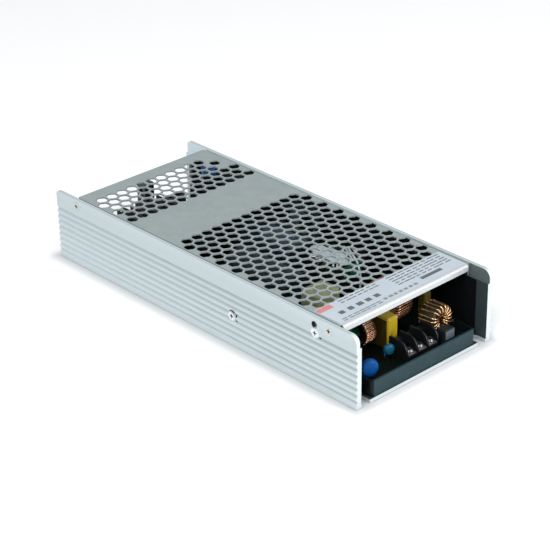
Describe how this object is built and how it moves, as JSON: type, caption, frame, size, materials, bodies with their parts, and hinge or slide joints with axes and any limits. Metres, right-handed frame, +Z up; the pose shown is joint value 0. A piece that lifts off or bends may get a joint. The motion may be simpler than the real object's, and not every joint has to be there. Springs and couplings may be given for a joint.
{
  "type": "switching power supply",
  "caption": "Fanless switching power supply: open aluminium channel with a honeycomb perforated cover, screw terminals for the mains input and for the output.",
  "frame": {"origin": "centre of the bottom face of the aluminium channel", "axes": "+Z up out of the base, +Y along the length towards the output end, +X towards the right-hand wall"},
  "size_m": [0.1, 0.237, 0.041],
  "materials": {
    "channel": "satin anodised",
    "cover_sheet": "satin",
    "label_film": "satin",
    "plated_steel": "bright plated",
    "brass_parts": "satin",
    "tray_film": "satin",
    "board_laminate": "satin",
    "black_plastic": "matte",
    "relay_case": "satin",
    "film_case": "satin",
    "blue_coat": "gloss",
    "blue_sleeve": "gloss",
    "core_coat": "matte",
    "ferrite": "matte",
    "copper_wire": "enamelled",
    "winding_tape": "satin",
    "thermal_film": "matte",
    "heatsink_metal": "black anodised",
    "connector_plastic": "satin",
    "lamp_lens": "gloss"
  },
  "bodies": {
    "root": {"chassis": "channel", "top_cover": "cover_sheet", "rating_label": "label_film", "cover_screws": "plated_steel", "wall_screws": "plated_steel", "board_screws": "plated_steel", "input_terminal_screws": "plated_steel", "input_terminal_clamps": "plated_steel", "output_screws": "plated_steel", "bridge_clip": "plated_steel", "near_clamp_bar": "plated_steel", "far_clamp_bar": "plated_steel", "output_shunt": "plated_steel", "board_standoffs": "brass_parts", "output_busbars": "brass_parts", "insulating_tray": "tray_film", "far_insulator": "tray_film", "circuit_board": "board_laminate", "control_board": "board_laminate", "input_terminal_block": "black_plastic", "output_terminal_block": "black_plastic", "line_choke_base": "black_plastic", "control_header": "black_plastic", "transformer_bobbin": "black_plastic", "resonant_choke_bobbin": "black_plastic", "bridge_rectifier": "black_plastic", "primary_transistor_1": "black_plastic", "primary_transistor_2": "black_plastic", "boost_transistor": "black_plastic", "boost_diode": "black_plastic", "synchronous_rectifiers": "black_plastic", "thermistor": "black_plastic", "line_fuse": "black_plastic", "relay": "relay_case", "front_film_capacitor": "film_case", "side_film_capacitor": "film_case", "rear_film_capacitor": "film_case", "varistor": "blue_coat", "safety_capacitor": "blue_coat", "bulk_capacitor_1": "blue_sleeve", "bulk_capacitor_2": "blue_sleeve", "output_capacitor_1": "blue_sleeve", "output_capacitor_2": "blue_sleeve", "low_output_capacitors": "blue_sleeve", "filter_choke_core": "core_coat", "line_choke_core": "core_coat", "bypass_choke_core": "core_coat", "boost_choke_core": "core_coat", "transformer_core": "ferrite", "resonant_choke_core": "ferrite", "filter_choke_winding": "copper_wire", "line_choke_winding": "copper_wire", "bypass_choke_winding": "copper_wire", "boost_choke_winding": "copper_wire", "transformer_winding": "winding_tape", "resonant_choke_winding": "winding_tape", "thermal_pads": "thermal_film", "secondary_heatsink": "heatsink_metal", "signal_connector": "connector_plastic", "power_lamp": "lamp_lens"}
  },
  "joints": []
}
